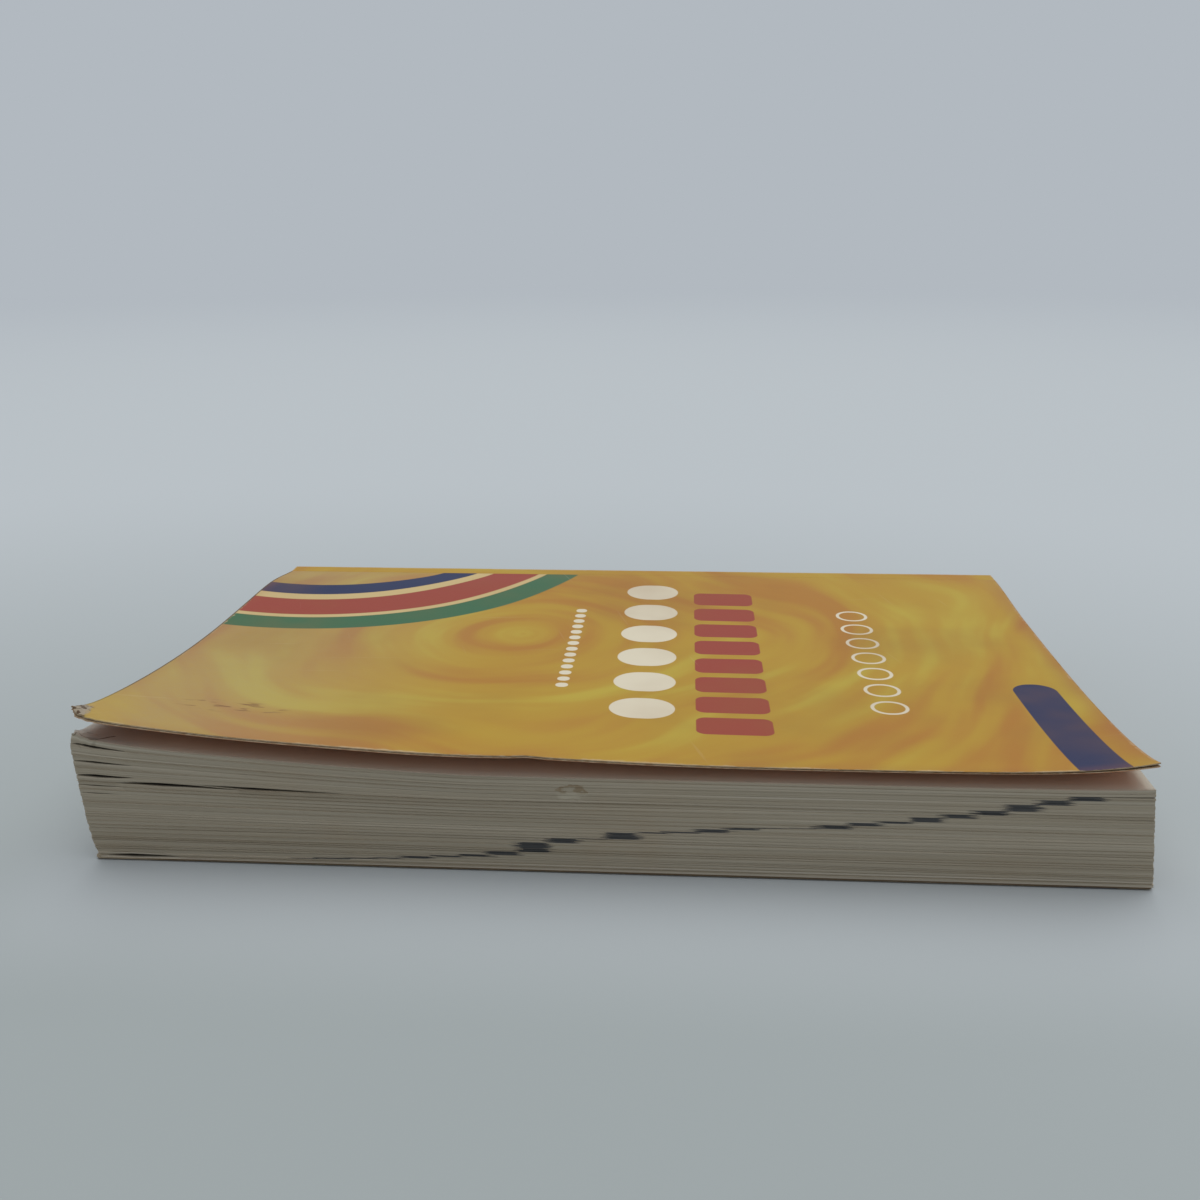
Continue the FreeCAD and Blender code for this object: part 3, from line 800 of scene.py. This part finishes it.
DARK_RIM_WIDTH = (0.7 * MM, 0.2 * MM)
DARK_RIM_ALONG = (-96 * MM, -104 * MM)
DARK_RIM_ACROSS = (FORE_EDGE, FORE_EDGE + 6 * MM)
HEAD_RUBBED = (7 * MM, 1 * MM)
CARD_ALONG = 200
CARD_ACROSS = 120
# Rows round the cut edge: place in the thickness, and how far each is set back into the parting.
PLY_LEVELS = np.array([0.0, 0.12, 0.26, 0.5, 0.74, 0.88, 1.0])[:, None]
PLY_SETBACK = np.array([0.0, 0.0, 0.0, 1.0, 0.0, 0.0, 0.0])[:, None]


def cover_lift(a, b):
    """Lift of the cover off the leaves: a rim that rises towards the tail and near the head, with a
    buckle and a kink near its middle, a hump by the crease at the tail, and a curl of the tail edge.
    The tip doesn't follow the dog-ear of the leaves all the way up."""
    from_head = (1 - a) * BOOK_LENGTH
    out = 1 - b
    rim = RIM_LIFT + TAIL_LIFT * (1 - a) ** 2 + HEAD_LIFT * np.exp(-from_head / HEAD_LIFT_REACH)
    grown = np.clip((a - MIDDLE_STARTS) / (MIDDLE_FULL - MIDDLE_STARTS), 0, 1)
    rim = rim + MIDDLE_LIFT * grown ** 2 * (3 - 2 * grown) * (1 - 0.5 * a ** 6)
    rim = rim + BUCKLE_RISE * np.exp(-(((a - BUCKLE_PLACE) / BUCKLE_REACH) ** 2))
    rim = rim + KINK_RISE * np.exp(-(((a - KINK_PLACE) / KINK_REACH) ** 2)) * np.clip(out * 5 - 4, 0, 1)
    from_crease = out * LOOSE_WIDTH / HUMP_REACH
    hump = HUMP_RISE * (1 - a) ** 2 * from_crease ** 2 * np.exp(2 - 2 * from_crease)
    ear = DOG_EAR_RISE * np.exp(-np.hypot(a * BOOK_LENGTH, b * LOOSE_WIDTH) / DOG_EAR_SIZE)
    depth = b * LOOSE_WIDTH
    curl = TIP_CURL * (1 - np.exp(-depth / TIP_CURL_DEPTH[0])) * np.exp(-depth / TIP_CURL_DEPTH[1])
    curl = curl * np.exp(-a * BOOK_LENGTH / TIP_CURL_LENGTH)
    return rim * out ** (3 + 2 * a) + hump + curl - TIP_EAR * ear * out


def near_head_corner(a, b):
    """Falls from 1 at the head corner of the fore-edge, where the plies have parted."""
    return np.exp(-(1 - a) * BOOK_LENGTH / PARTED_LENGTH - b * LOOSE_WIDTH / PARTED_DEPTH)


def near_tip(a, b):
    """Falls from 1 at the tail corner of the fore-edge, where the card has frayed."""
    return np.exp(-(a * BOOK_LENGTH + b * LOOSE_WIDTH) / FRAY_REACH)


def round_off(along, across):
    """How far a point moves both ways, in units of the rounding, to turn a square corner into a ragged
    quarter of an ellipse. The nested corners inside it are rounded less and less."""
    turned = along - across
    size = np.clip(1 - np.minimum(along, across) / 2, 1e-6, 1)
    place = np.clip(abs(turned) / size, 0, 1)
    ragged = TIP_RAGGED[0] * np.sin(8 * turned + 1) + TIP_RAGGED[1] * np.sin(21 * turned)
    return 0.5 * size * (2 - np.sqrt(2 - place ** 2) - place) * (1 + ragged)


def front_point(a, b, side, setback):
    """Point a of the way from tail to head and b from fore-edge to crease, on the inside where side is
    0 and outside where it is 1, with the loose edges set back. The tip is torn round, both loose
    corners are thicker, where the plies have come apart, and the fore-edge is swollen by use."""
    from_edge = b * LOOSE_WIDTH
    blunt = round_off(a * BOOK_LENGTH / TIP_ROUND[0], from_edge / TIP_ROUND[1])
    a = a + blunt * TIP_ROUND[0] / BOOK_LENGTH + setback * (1 - 2 * a) / BOOK_LENGTH
    b = b + blunt * TIP_ROUND[1] / LOOSE_WIDTH + setback * (1 - b) / LOOSE_WIDTH
    cocked = (LEAF_SKEW - TIP_LOSS * (1 - a) ** 6) * (1 - b)
    x = TAIL + a * BOOK_LENGTH - cocked
    y = FORE_EDGE + b * (LOOSE_WIDTH - CREASE_GAP)
    from_crease = (1 - b) * LOOSE_WIDTH
    pressed = np.exp(-from_crease / HINGE_STRIP)
    thickness = CARD - (CARD - CREASE_CARD) * pressed
    thickness = thickness + PARTED * near_head_corner(a, b) + FRAYED * near_tip(a, b)
    clearance = LEAF_CLEARANCE * (1 - pressed) + (CARD - CREASE_CARD) * pressed
    wave = COVER_WAVE * (1 - b) * np.sin(60 * x + 25 * y) * np.sin(35 * y - 20 * x)
    lumps = FRAY_LUMPS * near_tip(a, b) * np.sin(3000 * x + 900 * y) * np.sin(2600 * y)
    from_tail = a * BOOK_LENGTH / FRAY_SPAN[0]
    from_fore = b * LOOSE_WIDTH / FRAY_SPAN[1]
    lumps = lumps + FRAY_CURL * np.exp(-(from_tail ** 2) - from_fore ** 2)
    nick = NICK_RISE * np.exp(-a * BOOK_LENGTH / NICK_REACH) * from_crease / NICK_REACH
    nick = nick * np.exp(1 - from_crease / NICK_REACH)
    swollen = SWOLLEN * (1 - 0.7 * a) * np.exp(-from_edge / SWOLLEN_REACH) * (1 - side)
    z = leaf_height(1.0, x, y, 0.0) + clearance + cover_lift(a, b)
    return np.stack([x, y, z + side * thickness + wave + lumps + nick - swollen], -1)


def both_ends(count, crowding=0.75):
    """Shares from 0 to 1, closer together near both ends."""
    even = np.linspace(0, 1, count)
    return even - crowding * np.sin(2 * math.pi * even) / (2 * math.pi)


def front_card():
    """Points, faces and wall faces of the panel, and at each point its place in the thickness and its
    distance from the cut edge, where the plies part most near the tip and near the head corner."""
    a_line = both_ends(CARD_ALONG)
    b_line = both_ends(CARD_ACROSS)
    walk = rim_walk(CARD_ALONG, CARD_ACROSS)
    a = a_line[walk[0]]
    b = b_line[walk[1]]
    loose = np.clip((1 - b) * LOOSE_WIDTH / HINGE_STRIP, 0, 1)
    parted = CUT_PARTED + PARTED_DEPTH * near_head_corner(a, b) ** 0.7 + TIP_PARTED * near_tip(a, b)
    wall = front_point(a, b, PLY_LEVELS, PLY_SETBACK * parted * loose)
    sheet_a, sheet_b = np.meshgrid(a_line, b_line, indexing="ij")
    lowest = front_point(sheet_a, sheet_b, 0.0, 0.0)
    highest = front_point(sheet_a, sheet_b, 1.0, 0.0)
    lowest[walk] = wall[0]
    highest[walk] = wall[-1]
    inner = (CARD_ALONG - 2) * (CARD_ACROSS - 2)
    ply = np.broadcast_to(PLY_LEVELS, wall.shape[:2]).ravel()
    ply = np.concatenate([ply, np.zeros(inner), np.ones(inner)])
    to_edge = np.minimum(np.minimum(sheet_a, 1 - sheet_a) * BOOK_LENGTH, sheet_b * LOOSE_WIDTH)
    sheet_edge = to_edge[1:-1, 1:-1].ravel()
    edge = np.tile(to_edge[walk], len(PLY_LEVELS))
    edge = np.concatenate([edge, sheet_edge, sheet_edge])
    return *closed_stack(wall, lowest, highest), ply, edge


# Each stripe of the arc: where it begins and ends in the arc's width, and its ink.
ARC_STRIPES = (
    (0.0, 0.24, PRINT_BLUE),
    (0.24, 0.36, PRINT_CREAM),
    (0.36, 0.7, PRINT_RED),
    (0.7, 0.76, PRINT_CREAM),
    (0.76, 1.0, PRINT_GREEN),
)
ARC_CENTRE = (-104 * MM, 96 * MM)
ARC_INNER = 46 * MM
ARC_WIDTH = 42 * MM
ARC_SOFTNESS = 0.008


def striped_arc(x, y, under):
    """A broad arc round the corner of the tail and the spine: three stripes parted by cream ones."""
    away = ((x - ARC_CENTRE[0]) ** 2.0 + (y - ARC_CENTRE[1]) ** 2.0) ** 0.5
    share = (away - ARC_INNER) / ARC_WIDTH
    face = under
    for begin, end, ink in ARC_STRIPES:
        begun = share.step(begin - ARC_SOFTNESS, begin + ARC_SOFTNESS)
        face = (begun * share.step(end + ARC_SOFTNESS, end - ARC_SOFTNESS)).paint(face, ink)
    return face


front_finish, x, y, z = new_finish("printed_card_front")
fibre = cloud(x * 500, y * 500, z * 2600, detail=3.0, roughness=0.7)
# The print is greyer towards the tail, in fine streaks.
greyed = x.step(*TAIL_GREY_PLACE) * (TAIL_GREY_LEAST + TAIL_GREY_VARIES * fibre)
printed = greyed.paint(flowing_print(x, y, z), TAIL_GREY)
printed = striped_arc(x, y, printed)
red_tiles = tile_row(y, x, first=-60 * MM, last=54 * MM, count=8, middle=28 * MM,
                     half=9 * MM, gap=3.2 * MM, corner=2.5 * MM)
printed = red_tiles.paint(printed, PRINT_RED)
white_tiles = tile_row(y, x, first=-52 * MM, last=62 * MM, count=6, middle=6 * MM,
                       half=8 * MM, gap=5 * MM, corner=7 * MM)
printed = white_tiles.paint(printed, PRINT_WHITE)
small_tiles = tile_row(y, x, first=-30 * MM, last=36 * MM, count=14, middle=-15 * MM,
                       half=1.6 * MM, gap=1.6 * MM, corner=1.4 * MM)
printed = small_tiles.paint(printed, PRINT_WHITE)
discs = tile_row(y, x, first=-44 * MM, last=40 * MM, count=7, middle=66 * MM,
                 half=4.6 * MM, gap=3 * MM, corner=4.4 * MM)
holes = tile_row(y, x, first=-44 * MM, last=40 * MM, count=7, middle=66 * MM,
                 half=3.7 * MM, gap=4.8 * MM, corner=3.5 * MM)
printed = (discs * (1 - holes)).paint(printed, PRINT_WHITE)
strip = tile_row(y, x, first=-96 * MM, last=-20 * MM, count=1, middle=104 * MM,
                 half=5.4 * MM, gap=0.0, corner=5.3 * MM)
printed = strip.paint(printed, PRINT_BLUE)
ply = stored(x, "ply")
edge = stored(x, "edge")
face, rough, height = worn_print(x, y, z, printed, edge, edge + 1)
cut = fibre.step(0.35, 0.7).paint(CUT_DARK, CUT_PALE)
cut = (abs(ply - 0.5).step(0.14, 0.05) * 0.85).paint(cut, CUT_PARTING)
blotched = cloud(x * 30, y * 30, z * 30, detail=3.0)
# The inside face, blotched: the warm orange that is partly painted light.
inside = blotched.step(0.3, 0.75).paint(CARD_INSIDE, INSIDE_BLOTCH)
from_head = -1 * (x + TAIL)
tip_x = (x - (TAIL - LEAF_SKEW)) / TIP_BARE[0]
tip_y = (y - FORE_EDGE) / TIP_BARE[1]
from_tip = (tip_x ** 2.0 + tip_y ** 2.0) ** 0.5 + (fibre - 0.5) * 0.7
pits = cloud(x * 950, y * 560, z * 900, detail=2.0)
bare = pits.step(0.42, 0.54).paint(BARE_DIRT, BARE_BOARD)
dark_rim = edge.step(*DARK_RIM_WIDTH) * x.step(*DARK_RIM_ALONG) * y.step(*DARK_RIM_ACROSS)
scuffs = cloud(x * 170, y * 650, z * 40, detail=2.0).step(0.54, 0.64)
scuff_x = (x - SCUFF_PLACE[0]) / SCUFF_HALF[0]
scuff_y = (y - SCUFF_PLACE[1]) / SCUFF_HALF[1]
scuffed = scuff_x ** 2.0 + scuff_y ** 2.0
face = (scuffs * scuffed.step(1.0, 0.3) * 0.8).paint(face, SCUFF_BROWN)
face = (dark_rim * 0.8).paint(face, RIM_BROWN)
face = (from_head.step(*HEAD_RUBBED) * 0.3).paint(face, HEAD_BROWN)
face = (from_tip.step(4.0, 1.5) * 0.4).paint(face, PRINT_LEMON)
face = from_tip.step(1.1, 0.9).paint(face, bare)
face = ply.step(0.9, 0.99).paint(cut, face)
face = ply.step(0.1, 0.02).paint(face, inside)
close_finish(x, face, rough, GLOSS, height + fibre * 0.1, strength=0.6, depth=PRINT_RELIEF)

front_points, front_faces, front_wall, ply_values, edge_values = front_card()
smooth = np.arange(len(front_faces)) >= front_wall
front = new_piece("front_card", front_points, front_faces, smooth, front_finish)
give_values(front, "ply", ply_values)
give_values(front, "edge", edge_values)
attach(front, "front_cover")
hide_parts("front_cover")


# Back cover: the other panel of the card, pressed flat between the book and the table. Its film is
# rubbed dull and its corners are worn round.

BACK_CUT_SHADED = colour(96, 80, 64)
BACK_CUT_PALE = colour(168, 154, 132)
BACK_CUT_PALER = (-98 * MM, -110 * MM)
INSIDE_RIM = colour(150, 138, 118)
INSIDE_RIM_WIDTH = (3 * MM, 10 * MM)

back_finish, x, y, z = new_finish("printed_card_back")
printed = flowing_print(x, y, z)
strip = tile_row(y, x, first=-96 * MM, last=20 * MM, count=1, middle=104 * MM,
                 half=5.4 * MM, gap=0.0, corner=5.3 * MM)
printed = strip.paint(printed, PRINT_BLUE)
rim = (x - TAIL).smaller(-1 * (x + TAIL)).smaller(y - FORE_EDGE)
face, rough, height = worn_print(x, y, z, printed, rim, CREASE - y)
# The cut edge: the card's own pale colour near the tail, and painted shade, dark brown, everywhere else.
cut = x.step(*BACK_CUT_PALER).paint(BACK_CUT_SHADED, BACK_CUT_PALE)
face = z.step(0.02 * MM, 0.05 * MM).paint(face, cut)
inside = rim.step(*INSIDE_RIM_WIDTH).paint(INSIDE_RIM, CARD_INSIDE)
face = z.step(CARD - 0.05 * MM, CARD - 0.02 * MM).paint(face, inside)
close_finish(x, face, rough + 0.1, GLOSS, height, strength=0.6, depth=PRINT_RELIEF)
dress("back_cover", back_finish)
